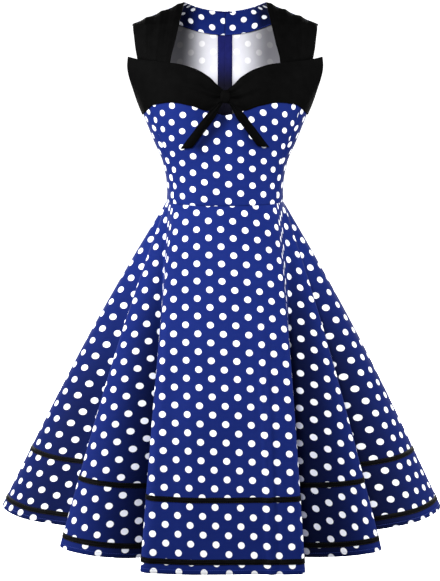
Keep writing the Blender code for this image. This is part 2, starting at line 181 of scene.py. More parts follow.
# Folds of the skirt, once round from centre front. Each one rises to its crest, rolls over its edge
# and tucks in. Columns: name, the angles on the waist ring where the fold starts and ends, then
# rise, crest, roll and tuck as plan positions (x, y) at the hem.
FOLDS = (
    ("front_centre", 0, 72, (0.070, -0.345), (0.110, -0.350), (0.139, -0.346), (0.124, -0.270)),
    ("front_left", 74, 82, (0.165, -0.276), (0.235, -0.270), (0.282, -0.246), (0.262, -0.158)),
    ("side_left", 84, 92, (0.310, -0.140), (0.380, -0.086), (0.418, 0.012), (0.345, 0.108)),
    ("back_left", 98, 126, (0.322, 0.170), (0.270, 0.236), (0.190, 0.280), (0.146, 0.230)),
    ("centre_back_left", 128, 180, (0.128, 0.270), (0.096, 0.318), (0.048, 0.332), (0.000, 0.334)),
    ("centre_back_right", 180, 232, (-0.040, 0.332), (-0.096, 0.324), (-0.142, 0.292), (-0.150, 0.226)),
    ("back_right", 236, 262, (-0.196, 0.258), (-0.262, 0.254), (-0.318, 0.196), (-0.322, 0.130)),
    ("side_right", 266, 274, (-0.376, 0.106), (-0.433, 0.016), (-0.392, -0.082), (-0.276, -0.150)),
    ("front_right", 276, 286, (-0.300, -0.230), (-0.252, -0.268), (-0.180, -0.282), (-0.134, -0.266)),
    ("front_centre_end", 288, 360, (-0.149, -0.338), (-0.118, -0.346), (-0.070, -0.346), (0.000, -0.344)),
)
# Height of the hem at the front, at the sides and at the back.
HEM_Z = (-0.990, -0.965, -0.985)
HIP_FULLNESS = 0.013
RIBBON_SHARES = (("upper", 0.803), ("lower", 0.967))

# Soft ripples of the skirt: waist angle, half width in degrees, depth, share of the length where it
# begins and where it is deepest.
RIPPLES = (
    (-87.0, 1.3, -0.0280, 0.10, 0.70),
    (-75.4, 2.2, -0.0420, 0.08, 0.80),
    (-44.0, 5.0, 0.0024, 0.02, 0.45),
    (-30.0, 7.0, -0.0022, 0.10, 0.70),
    (-16.0, 6.0, 0.0014, 0.05, 0.60),
    (8.0, 8.0, -0.0012, 0.20, 0.80),
    (22.5, 2.2, 0.0048, 0.12, 0.60),
    (29.0, 3.0, -0.0030, 0.12, 0.60),
    (50.0, 5.0, 0.0024, 0.03, 0.40),
    (75.2, 1.9, -0.0460, 0.04, 0.75),
    (85.3, 1.5, -0.0380, 0.06, 0.75),
    (112.0, 8.0, 0.0022, 0.04, 0.55),
    (140.0, 6.0, -0.0014, 0.10, 0.70),
    (158.0, 5.0, 0.0018, 0.05, 0.50),
    (204.0, 6.0, 0.0016, 0.06, 0.50),
    (222.0, 6.0, -0.0014, 0.10, 0.65),
    (248.0, 7.0, 0.0022, 0.04, 0.55),
)

# Painted shade beside each lobe, where its fold would shade the cloth: waist angle, half width,
# strength, and the shares of the way down where it begins and is full.
FOLD_SHADES = (
    (-87.5, 1.7, 0.75, 0.10, 0.70),
    (-75.9, 2.3, 1.00, 0.06, 0.60),
    (76.2, 2.3, 1.05, 0.03, 0.45),
    (85.9, 2.0, 1.00, 0.05, 0.55),
    (-70.5, 3.5, 0.40, 0.30, 0.95),
    (70.0, 3.5, 0.35, 0.30, 0.95),
)

# The printed dots, on a staggered lattice along the grain, and how ragged their edges are.
DOT_ACROSS = 0.0118
DOT_RAGGED = 0.0004
DOT_COLUMN_STEP = 0.0220
DOT_ROW_STEP = 0.0325

# How the print lies: the waist angles a lobe of the skirt runs between, the step from dot to dot along
# a row and up a column, and where one dot lies. The cloth is a little skewed, as pressed cotton is.
PRINT_LIES = (
    ("side_right", -94.0, -86.0, (0.0531, -0.0027), (0.0014, 0.0319), (-0.4187, -0.3014)),
    ("front_right", -81.5, -74.0, (0.0429, 0.0000), (0.0015, 0.0326), (-0.2419, -0.3663)),
    ("front_centre", -54.0, 54.0, (0.0443, -0.0013), (-0.0008, 0.0327), (-0.001, -0.341)),
    ("front_left", 74.0, 80.0, (0.0400, -0.0054), (-0.0045, 0.0321), (0.2502, -0.3646)),
    ("side_left", 83.5, 94.0, (0.0500, -0.0017), (0.0011, 0.0323), (0.393, -0.289)),
)
FACING_PRINT = (
    ((0.0430, 0.0040), (0.0, 0.0310), (-0.014, 0.014)),
    ((0.0430, 0.0030), (0.0, 0.0310), (0.024, 0.014)),
)
BODICE_PRINT = ((0.0450, -0.0033), (0.0002, 0.0313), (0.0066, 0.1039))

# Painted shade on the front of the bodice, along each tie and below the keyhole: ends (x, z), width, depth.
BODICE_SHADES = (
    (-0.002, -0.204, -0.046, -0.258, 0.0120, 0.85),
    (0.020, -0.205, 0.056, -0.250, 0.0100, 0.50),
    (-0.012, -0.203, 0.012, -0.203, 0.0070, 0.70),
)

# Soft creases of the bodice's front: ends (x, z), height, width.
DRAG_LINES = (
    (0.000, -0.205, 0.002, -0.275, -0.0030, 0.010),
    (-0.018, -0.215, -0.050, -0.268, 0.0012, 0.006),
    (0.016, -0.215, 0.044, -0.262, 0.0010, 0.006),
    (-0.085, -0.205, -0.040, -0.240, -0.0008, 0.006),
    (0.088, -0.205, 0.045, -0.238, -0.0008, 0.006),
    (-0.070, -0.350, 0.015, -0.343, 0.0007, 0.004),
    (0.072, -0.335, -0.010, -0.329, 0.0006, 0.004),
    (-0.060, -0.318, -0.020, -0.312, 0.0005, 0.004),
)

# Gathers that run down the left strap and the right one: place across, height, share of the strap's
# length where it ends, and how far it leans across on its way down.
GATHERS = (
    (
        (0.10, 0.0014, 0.60, 0.02),
        (0.24, -0.0012, 0.75, 0.03),
        (0.38, 0.0016, 0.55, 0.02),
        (0.52, -0.0013, 0.80, 0.00),
        (0.66, 0.0015, 0.65, -0.02),
        (0.80, -0.0010, 0.55, -0.03),
    ),
    (
        (0.13, 0.0013, 0.70, 0.03),
        (0.28, -0.0013, 0.60, 0.02),
        (0.44, 0.0015, 0.75, 0.00),
        (0.58, -0.0011, 0.55, -0.01),
        (0.73, 0.0014, 0.70, -0.02),
        (0.88, -0.0009, 0.60, -0.03),
    ),
)

# Creases of a cuff, fanning out from the knot: height up the cuff at the knot and at its end, reach
# along the cuff, height of the crease.
CUFF_CREASES = (
    (0.20, 0.10, 0.20, 0.0014),
    (0.38, 0.34, 0.34, -0.0013),
    (0.52, 0.50, 0.42, 0.0016),
    (0.66, 0.72, 0.30, -0.0013),
    (0.82, 0.90, 0.26, 0.0014),
)

# Rows of stitches: how far they stand out of the cloth, how far across a ribbon its two rows lie, and
# how far the hem's row lies from the first row of the cloth to the second. Then how deep the zip's
# coil lies in its slit.
STITCH_OUT = 0.0001
RIBBON_STITCH_SHARES = (0.13, 0.87)
HEM_STITCH_SHARE = 0.9
COIL_DEPTH = 0.0012

# Stitches and the zip's coil: distance from one to the next, length, thickness. The ribbons and the
# zip are sewn on with the same stitch.
RIBBON_STITCH = (0.0032, 0.0024, 0.0004)
HEM_STITCH = (0.0034, 0.0026, 0.0004)
FACING_STITCH = (0.0030, 0.0022, 0.0004)
ZIP_COIL = (0.0013, 0.0034, 0.0009)

# Threads and ribs of the cloths. The threads are finer in fact, at about 0.25 mm, and are drawn this
# coarse so that they show.
COTTON_THREAD = 0.0007
SATEEN_THREAD = 0.0006
GROSGRAIN_RIB = 0.0011
TAPE_RIB = 0.0012

# The camera: what it is turned to, its angle above level, its distance, its lens in millimetres.
CAMERA_AIM = (-0.0095, 0.0, -0.542)
CAMERA_ABOVE_DEG = 9.5
CAMERA_DISTANCE = 3.4
CAMERA_LENS = 110.8

# Lamps: kind, place, what it is turned to, size, power in watts.
LAMPS = (
    ("key", "SPOT", (-0.5, -3.0, 0.9), (0.0, 0.0, -0.15), 0.40, 660.0),
    ("left", "AREA", (-2.8, -0.7, 0.1), (-0.1, 0.0, -0.60), 1.2, 135.0),
    ("right", "AREA", (2.8, -0.7, -0.1), (0.1, 0.0, -0.60), 1.2, 90.0),
    ("back_left", "AREA", (1.3, 2.8, 0.0), (0.0, 0.0, -0.50), 1.4, 95.0),
    ("back_right", "AREA", (-1.3, 2.8, 0.0), (0.0, 0.0, -0.50), 1.4, 105.0),
)
KEY_CONE_DEG = 35.0
WORLD_STRENGTH = 0.28


# ---------------------------------------------------------------- forms
def mix(a, b, share):
    return a + (b - a) * share


def steps(first, last, count):
    return [mix(first, last, i / count) for i in range(count + 1)]


def smooth_lookup(rows, column, at):
    """Column of the table at that place, by a cubic through its rows that never overshoots."""
    xs = [row[0] for row in rows]
    ys = [row[column] for row in rows]
    if at <= xs[0]:
        return ys[0]
    if at >= xs[-1]:
        return ys[-1]
    i = max(k for k in range(len(xs) - 1) if xs[k] <= at)
    slopes = [(ys[k + 1] - ys[k]) / (xs[k + 1] - xs[k]) for k in range(len(xs) - 1)]

    def tangent(k):
        if k in (0, len(xs) - 1):
            return slopes[0] if k == 0 else slopes[-1]
        a, b = slopes[k - 1], slopes[k]
        return 0.0 if a * b <= 0 else 2 * a * b / (a + b)

    h = xs[i + 1] - xs[i]
    t = (at - xs[i]) / h
    return (
        (2 * t**3 - 3 * t**2 + 1) * ys[i]
        + (t**3 - 2 * t**2 + t) * h * tangent(i)
        + (-2 * t**3 + 3 * t**2) * ys[i + 1]
        + (t**3 - t**2) * h * tangent(i + 1)
    )


RINGS = tuple(row[1:] for row in TORSO_RINGS)
CUFF = tuple(row[1:] for row in CUFF_EDGES)
STRAP = tuple(row[1:] for row in STRAP_STATIONS)


def bump(at, centre, half_width):
    """1 at the centre, falling smoothly almost to 0 two half widths away."""
    return math.exp(-0.8 * ((at - centre) / half_width) ** 2)


def ease(at, start, end):
    t = min(1.0, max(0.0, (at - start) / (end - start)))
    return t * t * (3 - 2 * t)


def signed(degrees):
    """The same angle, between -180 and 180 degrees."""
    return (degrees + 180) % 360 - 180


def cup(x, z):
    """How far the bust stands out of its ring at that place on the front."""
    across = (abs(x) - CUP_X) / CUP_SPREAD_X
    down = (z - CUP_Z) / CUP_SPREAD_Z
    return CUP_OUT * math.exp(-0.5 * (across**2 + down**2))


def ring_depth(x, half_width, depth):
    share = min(1.0, abs(x) / half_width)
    return depth * (1 - share**RING_POWER) ** (1 / RING_POWER)


def ring_x(degrees, half_width):
    s = math.sin(math.radians(degrees))
    return math.copysign(abs(s) ** (2 / RING_POWER), s) * half_width


def front_point(x, z, out=0.0):
    depth = ring_depth(x, smooth_lookup(RINGS, 1, z), smooth_lookup(RINGS, 2, z))
    return Vector((x, -depth - cup(x, z) - out, z))


def back_point(x, z):
    """The point of the torso's back at that x and z. Towards the shoulder it runs forward, no flatter
    than SHOULDER_RUN, to meet the strap along the seam."""
    across = max(abs(x), NECK_HALF)
    edge = front_point(across, shoulder_z(across)).y
    free = max(1e-6, ring_depth(x, smooth_lookup(RINGS, 1, z), smooth_lookup(RINGS, 3, z)) - edge)
    run = SHOULDER_RUN * max(0.0, shoulder_z(x) - z)
    return Vector((x, edge + free * run / (free**4 + run**4) ** 0.25, z))


def torso_point(degrees, z):
    """The point of the torso's ring at that angle from centre front."""
    half = smooth_lookup(RINGS, 1, z)
    c = math.cos(math.radians(degrees))
    depth = smooth_lookup(RINGS, 2 if c > 0 else 3, z)
    x = ring_x(degrees, half)
    y = -math.copysign(abs(c) ** (2 / RING_POWER), c) * depth
    return Vector((x, y - (cup(x, z) if c > 0 else 0.0), z))


def shoulder_z(x):
    return SHOULDER_Z * (abs(x) - NECK_HALF) / (SHOULDER_HALF - NECK_HALF)


def back_top_z(x):
    """Height of the back's top edge: the neckline inside the neck point, the shoulder seam outside it."""
    if abs(x) >= NECK_HALF:
        return shoulder_z(x)
    return -NECK_BACK_DROP * (1 - (abs(x) / NECK_HALF) ** 2.2)


def plan_points():
    """Control points of the folded hem: (waist angle, x, y), once round."""
    points = [(0.0, FOLDS[-1][6][0], FOLDS[-1][6][1])]
    for _, start, end, *places in FOLDS:
        for i, (x, y) in enumerate(places):
            points.append((mix(start, end, (i + 1) / len(places)), x, y))
    return points


PLAN = plan_points()


def hem_plan(span, share):
    """(waist angle, x, y) on a smooth closed line through the plan points."""
    count = len(PLAN) - 1
    wrap = [np.array(PLAN[(span + k) % count][1:]) for k in (-1, 0, 1, 2)]
    knots = [0.0]
    for a, b in zip(wrap, wrap[1:]):
        knots.append(knots[-1] + math.sqrt(max(1e-6, float(np.linalg.norm(b - a)))))
    t = mix(knots[1], knots[2], share)

    def between(p, q, a, b):
        return (p * (b - t) + q * (t - a)) / (b - a)

    first = [between(wrap[k], wrap[k + 1], knots[k], knots[k + 1]) for k in range(3)]
    second = [between(first[k], first[k + 1], knots[k], knots[k + 2]) for k in range(2)]
    x, y = between(second[0], second[1], knots[1], knots[2])
    return mix(PLAN[span][0], PLAN[span + 1][0], share), x, y


def skirt_base(column, s):
    """The point of the skirt a share s of the way from the waist to the hem."""
    waist_angle, x, y = column
    top = torso_point(waist_angle, WAIST_Z)
    radius = math.hypot(x, y)
    side = abs(x) / radius
    front = HEM_Z[0] if y < 0 else HEM_Z[2]
    z = mix(front, HEM_Z[1], side**2)
    full = HIP_FULLNESS * math.sin(math.pi * s) * (1 - 0.4 * s)
    out = Vector((x, y, 0)) / radius * full
    return Vector((mix(top.x, x, s), mix(top.y, y, s), mix(WAIST_Z, z, s))) + out


def skirt_shade(column, s):
    """How much painted shade that place gets from the fold beside it: 0 in the open, 1 or a little more
    inside.
    """
    angle = signed(column[0])
    return max(
        strength * ease(s, begins, full) * bump(angle, centre, half)
        for centre, half, strength, begins, full in FOLD_SHADES
    )


def skirt_point(column, s):
    """The skirt's own point, with its soft ripples."""
    point = skirt_base(column, s)
    waist_angle, x, y = column
    outwards = Vector((x, y, 0)).normalized()
    for centre, half, depth, begins, deepest in RIPPLES:
        gap = signed(waist_angle - centre)
        if abs(gap) < 4 * half:
            rise = ease(s, begins, deepest) * (1 - 0.35 * ease(s, deepest, 1.0))
            move = depth * rise * bump(gap, 0, half)
            # A deep trough hangs a little lower than its neighbours.
            point += outwards * move + Vector((0, 0, 0.15 * min(0.0, move)))
    return point


# ---------------------------------------------------------------- grids
def array_of(grid):
    return np.array([[tuple(p) for p in row] for row in grid])


def normals_of(points):
    """Outward normals of a grid whose rows run up the cloth and whose columns run towards +angle."""
    faces = np.cross(points[1:, 1:] - points[:-1, :-1], points[1:, :-1] - points[:-1, 1:])
    faces /= np.maximum(np.linalg.norm(faces, axis=2, keepdims=True), 1e-12)
    around = np.pad(faces, ((1, 1), (1, 1), (0, 0)), mode="edge")
    normals = around[1:, 1:] + around[1:, :-1] + around[:-1, 1:] + around[:-1, :-1]
    return normals / np.linalg.norm(normals, axis=2, keepdims=True)


def lifted(points, lift):
    """The grid moved along its normals by lift, which is one number or one for each point."""
    lift = np.asarray(lift, float)
    return points + normals_of(points) * (lift[..., None] if lift.ndim else lift)


def run_lengths(points, axis):
    """Distance along the rows (axis 1) or the columns (axis 0) of a grid, from its first point."""
    gaps = np.linalg.norm(np.diff(points, axis=axis), axis=2)
    start = np.zeros_like(np.take(gaps, [0], axis=axis))
    return np.cumsum(np.concatenate([start, gaps], axis=axis), axis=axis)


def seam_dips(points, left=False, right=False, bottom=False, top=False):
    """The grid with its cloth drawn in along each of these sewn edges."""
    across = run_lengths(points, 1)
    up = run_lengths(points, 0)
    dip = np.zeros(points.shape[:2])
    for wanted, distance in (
        (left, across),
        (right, across[:, -1:] - across),
        (bottom, up),
        (top, up[-1:] - up),
    ):
        if wanted:
            dip = np.maximum(dip, np.exp(-((distance / SEAM_DIP_WIDTH) ** 2)))
    return lifted(points, -SEAM_DIP * dip)


def mirrored(points):
    """The grid on the other side of the body, its columns turned round so that it still faces out."""
    return points[:, ::-1] * np.array((-1.0, 1.0, 1.0))


def both_sides(points, column):
    """A left piece and its mirror image: side, grid, and where that column of it is."""
    return ("left", points, column), ("right", mirrored(points), points.shape[1] - 1 - column)


def beside_line(points, x0, z0, x1, z1):
    """For each point, its nearest place on that line of the front, as a share of the line, and its
    distance from it."""
    run = np.array((x1 - x0, z1 - z0))
    place = np.stack((points[..., 0] - x0, points[..., 2] - z0), axis=2)
    along = np.clip(place @ run / (run @ run), 0, 1)
    return along, np.linalg.norm(place - along[..., None] * run, axis=2)


def unrolled(points, grain_column):
    """Flat cut of a skirt piece: each straight line of cloth is laid beside the last, at its true
    distance. The line grain_column lies along the grain."""
    top, low = points[-1], points[0]
    rows, count = points.shape[:2]
    flat_top, flat_low = np.zeros((count, 2)), np.zeros((count, 2))

    def apex(a, b, from_a, from_b, side):
        """The third corner of a triangle on a and b, on the given side of a to b."""
        base = np.linalg.norm(b - a)
        along = (base**2 + from_a**2 - from_b**2) / (2 * base)
        off = math.sqrt(max(from_a**2 - along**2, 0.0))
        unit = (b - a) / base
        return a + unit * along + np.array((-unit[1], unit[0])) * off * side

    def far(p, q):
        return float(np.linalg.norm(p - q))

    flat_low[grain_column] = (0.0, -far(top[grain_column], low[grain_column]))
    for step, side in ((1, 1), (-1, -1)):
        j = grain_column
        while 0 <= j + step < count:
            k = j + step
            flat_low[k] = apex(flat_top[j], flat_low[j], far(top[j], low[k]), far(low[j], low[k]), side)
            flat_top[k] = apex(flat_top[j], flat_low[k], far(top[j], top[k]), far(low[k], top[k]), side)
            j = k
    share = run_lengths(points[::-1], 0)
    share = (share / share[-1:])[::-1, :, None]
    return flat_top * (1 - share) + flat_low * share


def wrapped(points, grain_column):
    """Cloth coordinates of a torso panel: lengths along its rows and up its columns."""
    across = run_lengths(points, 1)
    across -= across[:, grain_column : grain_column + 1]
    return np.stack((across, run_lengths(points, 0)), axis=2)


def on_print(flat, row, column, place):
    """Where each place of the flat cut lies on the printed pattern."""
    steps_of = np.linalg.inv(np.array((row, column)))
    return (flat - np.array(place)) @ steps_of * np.array((2 * DOT_COLUMN_STEP, DOT_ROW_STEP))


def printed_front(flat, angles):
    """The front of the skirt on the print: each lobe lies its own way, and the print eases from one to
    the next where the cloth tucks in between them."""
    cells = np.array(((DOT_COLUMN_STEP, DOT_ROW_STEP / 2), (DOT_COLUMN_STEP, -DOT_ROW_STEP / 2)))
    result, last_angle = None, None
    for _, first, last, row, column, place in PRINT_LIES:
        lobe = on_print(flat, row, column, place)
        if result is not None:
            middle = int(np.argmin(np.abs(angles - (last_angle + first) / 2)))
            gap = (result - lobe)[flat.shape[0] // 2, middle]
            lobe = lobe + np.round(gap @ np.linalg.inv(cells)) @ cells
            share = np.array([ease(a, last_angle, first) for a in angles])[None, :, None]
            lobe = result * (1 - share) + lobe * share
        result, last_angle = lobe, last
    return result


def linked(name, data):
    """A new object, in the scene."""
    made = bpy.data.objects.new(name, data)
    bpy.context.scene.collection.objects.link(made)
    return made


def cloth(name, points, uv, finishes, thickness=CLOTH, round_edge=0.0, shade=None):
    """A piece of cloth from a grid of points on its right side. finishes are its right side, its
    wrong side and its cut edge. shade is how much painted shade each point gets, from 0 to 1."""
    rows, count = points.shape[:2]
    mesh = bpy.data.meshes.new(name)
    index = np.arange(rows * count).reshape(rows, count)
    quads = np.stack((index[:-1, :-1], index[:-1, 1:], index[1:, 1:], index[1:, :-1]), axis=2)
    mesh.from_pydata(points.reshape(-1, 3).tolist(), [], quads.reshape(-1, 4).tolist())
    layer = mesh.uv_layers.new(name="cut")
    corner = np.empty(len(mesh.loops), int)
    mesh.loops.foreach_get("vertex_index", corner)
    layer.data.foreach_set("uv", uv.reshape(-1, 2)[corner].astype(np.float32).ravel())
    # The painted shade is kept as the attribute fold_shade, which the printed cotton reads.
    if shade is not None:
        depth = mesh.attributes.new("fold_shade", "FLOAT", "POINT")
        depth.data.foreach_set("value", shade.astype(np.float32).ravel())
    mesh.shade_smooth()
    for finish in finishes:
        mesh.materials.append(finish)
    made = linked(name, mesh)
    thick = made.modifiers.new("cloth", "SOLIDIFY")
    thick.thickness = thickness
    thick.offset = -1
    thick.material_offset = 1
    thick.material_offset_rim = len(finishes) - 1
    if round_edge:
        soft = made.modifiers.new("rolled_edge", "BEVEL")
        soft.width = round_edge
        soft.segments = 3
        soft.limit_method = "ANGLE"
        soft.angle_limit = math.radians(50)
    return made


# ---------------------------------------------------------------- materials
def linear(hex_colour):
    """An sRGB hex value as linear red, green, blue and alpha."""
    parts = [int(hex_colour[i : i + 2], 16) / 255 for i in (1, 3, 5)]
    return (*[p / 12.92 if p <= 0.04045 else ((p + 0.055) / 1.055) ** 2.4 for p in parts], 1.0)


def add(tree, kind, settings=None, **links):
    """Adds a node with its settings. Each link names an input, by its name or by i and its number, and
    gives it a value, a socket, or a node, which stands for its first output."""
    node = tree.nodes.new(kind)
    for key, value in (settings or {}).items():
        if hasattr(node, key):
            setattr(node, key, value)
        else:
            node.inputs[key].default_value = value
    for key, value in links.items():
        number = key[0] == "i" and key[1:].isdigit()
        socket = node.inputs[int(key[1:]) if number else key.replace("_", " ")]
        if isinstance(value, bpy.types.Node):
            value = value.outputs[0]
        if isinstance(value, bpy.types.NodeSocket):
            tree.links.new(value, socket)
        else:
            socket.default_value = value
    return node


CUT = {"uv_map": "cut"}
COLOURS = {"data_type": "RGBA"}
SMOOTH = {"interpolation_type": "SMOOTHSTEP"}


def new_material(name, roughness, specular, sheen=0.0, sheen_tint="#ffffff"):
    made = bpy.data.materials.new(name)
    made.use_nodes = True
    shader = made.node_tree.nodes["Principled BSDF"]
    shader.inputs["Roughness"].default_value = roughness
    shader.inputs["Specular IOR Level"].default_value = specular
    shader.inputs["Sheen Weight"].default_value = sheen
    shader.inputs["Sheen Tint"].default_value = linear(sheen_tint)
    return made, made.node_tree, shader


def surfaced(tree, shader, colour, height, strength, distance):
    """Gives the finish its colour and its fine relief."""
    relief = add(tree, "ShaderNodeBump", {"Strength": strength, "Distance": distance}, Height=height)
    tree.links.new(colour, shader.inputs["Base Color"])
    tree.links.new(relief.outputs[0], shader.inputs["Normal"])


def dot_mask(tree, place, softness):
    """1 inside a printed dot and 0 outside. The dots are two equal lattices, half a cell apart."""
    half_cell = (DOT_COLUMN_STEP, DOT_ROW_STEP / 2, 0.5)
    low_corner = tuple(-c for c in half_cell)
    distances = []
    for shift in ((0.0, 0.0, 0.0), (DOT_COLUMN_STEP, DOT_ROW_STEP / 2, 0.0)):
        moved = add(tree, "ShaderNodeVectorMath", {"operation": "ADD"}, i0=place, i1=shift)
        cell = add(tree, "ShaderNodeVectorMath", {"operation": "WRAP"}, i0=moved, i1=half_cell, i2=low_corner)
        flat = add(tree, "ShaderNodeVectorMath", {"operation": "MULTIPLY"}, i0=cell, i1=(1.0, 1.0, 0.0))
        length = add(tree, "ShaderNodeVectorMath", {"operation": "LENGTH"}, i0=flat)
        distances.append(length.outputs["Value"])
    nearest = add(tree, "ShaderNodeMath", {"operation": "MINIMUM"}, i0=distances[0], i1=distances[1])
    edge = add(tree, "ShaderNodeTexNoise", {"Scale": 420.0, "Detail": 2.0}, Vector=place)
    ragged = add(tree, "ShaderNodeMath", {"operation": "MULTIPLY_ADD"}, i0=edge, i1=DOT_RAGGED, i2=nearest)
    radius = (DOT_ACROSS + DOT_RAGGED) / 2
    edge_band = {"From Min": radius + softness, "From Max": radius - softness}
    return add(tree, "ShaderNodeMapRange", {**SMOOTH, **edge_band}, Value=ragged)


def weave(tree, place, thread):
    """Height of a plain weave: warp and weft threads that pass over each other."""
    scaled = add(tree, "ShaderNodeVectorMath", {"operation": "SCALE", "Scale": math.pi / thread}, i0=place)
    split = add(tree, "ShaderNodeSeparateXYZ", None, Vector=scaled).outputs
    warp, weft = [add(tree, "ShaderNodeMath", {"operation": "SINE"}, i0=split[k]) for k in (0, 1)]
    return add(tree, "ShaderNodeMath", {"operation": "MULTIPLY"}, i0=warp, i1=weft)


def ribs(tree, place, spacing):
    """Height of close ribs, one after another along the first direction of the cut."""
    along = add(tree, "ShaderNodeSeparateXYZ", None, Vector=place)
    turn = add(tree, "ShaderNodeMath", {"operation": "MULTIPLY"}, i0=along, i1=2 * math.pi / spacing)
    return add(tree, "ShaderNodeMath", {"operation": "SINE"}, i0=turn)


def uneven(tree, place, scale, low, high):
    """The colour of a cloth, which drifts slowly between two close shades."""
    noise = add(tree, "ShaderNodeTexNoise", {"Scale": scale, "Detail": 3.0, "Roughness": 0.55}, Vector=place)
    share = add(tree, "ShaderNodeMapRange", {"From Min": 0.3, "From Max": 0.7}, Value=noise)
    return add(tree, "ShaderNodeMix", COLOURS, i0=share, i6=linear(low), i7=linear(high)).outputs[2]


def with_painted_shade(tree, colour, axis, first, last, most, deep):
    """Painted shade: the colour as it goes over to the deep one, by the share most, between first and
    last on that axis, on either side of the middle."""
    place = add(tree, "ShaderNodeTexCoord").outputs["Object"]
    on_axis = add(tree, "ShaderNodeSeparateXYZ", None, Vector=place).outputs[axis]
    away = add(tree, "ShaderNodeMath", {"operation": "ABSOLUTE"}, i0=on_axis)
    band = {"From Min": first, "From Max": last, "To Max": most}
    share = add(tree, "ShaderNodeMapRange", {**SMOOTH, **band}, Value=away)
    return add(tree, "ShaderNodeMix", COLOURS, i0=share, i6=colour, i7=linear(deep)).outputs[2]


def printed_cotton():
    """Printed cotton satin, right side: royal blue ground and white dots, matt, with a little bloom and
    painted shade.
    """
    made, tree, shader = new_material("printed_cotton_satin", 0.72, 0.03, 0.01, "#9fb0ff")
    place = add(tree, "ShaderNodeUVMap", CUT)
    ground = uneven(tree, place, 9.0, "#0f1d59", "#122160")
    # Painted shade from the fold_shade attribute: the ground darkens far more than the white dots do.
    shade = add(tree, "ShaderNodeAttribute", {"attribute_name": "fold_shade"}).outputs["Fac"]
    shaded = []
    for colour, most, deep in ((ground, 0.85, "#05091f"), (linear("#f8faff"), 0.35, "#dfe3f0")):
        share = add(tree, "ShaderNodeMath", {"operation": "MULTIPLY"}, i0=shade, i1=most)
        shaded.append(add(tree, "ShaderNodeMix", COLOURS, i0=share, i6=colour, i7=linear(deep)).outputs[2])
    dots = dot_mask(tree, place, 0.00035)
    colour = add(tree, "ShaderNodeMix", COLOURS, i0=dots, i6=shaded[0], i7=shaded[1]).outputs[2]
    surfaced(tree, shader, colour, weave(tree, place, COTTON_THREAD), 0.12, 0.0001)
    return made


def cotton_wrong_side(name, painted_side_shade):
    """The wrong side of the printed cotton: undyed off-white, with the dots just showing through. On
    the bodice's back and sides, painted shade darkens it towards the sides and down towards the waist."""
    made, tree, shader = new_material(name, 0.85, 0.05)
    place = add(tree, "ShaderNodeUVMap", CUT)
    ground = uneven(tree, place, 30.0, "#bdbdc4", "#c6c6cd")
    dots = dot_mask(tree, place, 0.0009)
    colour = add(tree, "ShaderNodeMix", COLOURS, i0=dots, i6=ground, i7=linear("#e2e2e4")).outputs[2]
    if painted_side_shade:
        # Painted shade: grey towards the sides, near black lower down.
        colour = with_painted_shade(tree, colour, "X", 0.018, 0.085, painted_side_shade, "#38373c")
        colour = with_painted_shade(tree, colour, "Z", 0.130, 0.185, 0.94, "#0b0a12")
    surfaced(tree, shader, colour, weave(tree, place, COTTON_THREAD), 0.15, 0.0001)
    return made


def black_cotton():
    """Black stretch cotton: matt and deep, with the finest grain."""
    made, tree, shader = new_material("black_cotton_sateen", 0.72, 0.02)
    place = add(tree, "ShaderNodeUVMap", CUT)
    colour = uneven(tree, place, 60.0, "#020202", "#040404")
    surfaced(tree, shader, colour, weave(tree, place, SATEEN_THREAD), 0.15, 0.0001)
    return made


def grosgrain():
    """Black grosgrain ribbon: close ribs straight across its width."""
    made, tree, shader = new_material("black_grosgrain_ribbon", 0.55, 0.04)
    place = add(tree, "ShaderNodeUVMap", CUT)
    colour = uneven(tree, place, 80.0, "#020203", "#040405")
    surfaced(tree, shader, colour, ribs(tree, place, GROSGRAIN_RIB), 0.35, 0.00025)
    return made


def zip_tape():
    """Woven polyester zip tape, dark blue, with lengthwise ribs. Painted shade darkens it down into the
    waist.
    """
    made, tree, shader = new_material("polyester_zip_tape", 0.6, 0.05)
    place = add(tree, "ShaderNodeUVMap", CUT)
    colour = uneven(tree, place, 90.0, "#111448", "#161952")
    # Painted shade, near black lower down.
    colour = with_painted_shade(tree, colour, "Z", 0.095, 0.165, 0.95, "#040308")
    surfaced(tree, shader, colour, ribs(tree, place, TAPE_RIB), 0.3, 0.0002)
    return made


def plain(name, hex_colour, roughness, specular=0.4, grain=500.0, strength=0.08):
    """A small part's finish: one colour with a little unevenness."""
    made, tree, shader = new_material(name, roughness, specular)
    place = add(tree, "ShaderNodeTexCoord").outputs["Object"]
    noise = add(tree, "ShaderNodeTexNoise", {"Scale": grain, "Detail": 2.0}, Vector=place)
    full = linear(hex_colour)
    darker = (*[c * 0.8 for c in full[:3]], 1.0)
    colour = add(tree, "ShaderNodeMix", COLOURS, i0=noise, i6=darker, i7=full).outputs[2]
    surfaced(tree, shader, colour, noise, strength, 0.0002)
    return made


DOTTED = printed_cotton()
WRONG = cotton_wrong_side("printed_cotton_wrong_side", 0.0)
# The wrong side with painted shade, for the bodice's back and sides.
WRONG_SIDE_SHADED = cotton_wrong_side("printed_cotton_wrong_side_painted_shade", 0.88)
BLACK = black_cotton()
RIBBON = grosgrain()
TAPE = zip_tape()
# Nylon zip coil, polyester thread and baked enamel over die-cast zinc.
COIL = plain("nylon_zip_coil", "#2a3190", 0.35)
BLACK_THREAD = plain("black_polyester_thread", "#141416", 0.6)
BLUE_THREAD = plain("blue_polyester_thread", "#24389c", 0.6)
ENAMEL = plain("baked_enamel", "#22318f", 0.3, specular=0.5, grain=900.0, strength=0.03)
FABRIC = (DOTTED, WRONG, DOTTED)
BACK_FABRIC = (DOTTED, WRONG_SIDE_SHADED, DOTTED)
BLACK_CLOTH = (BLACK, BLACK, BLACK)


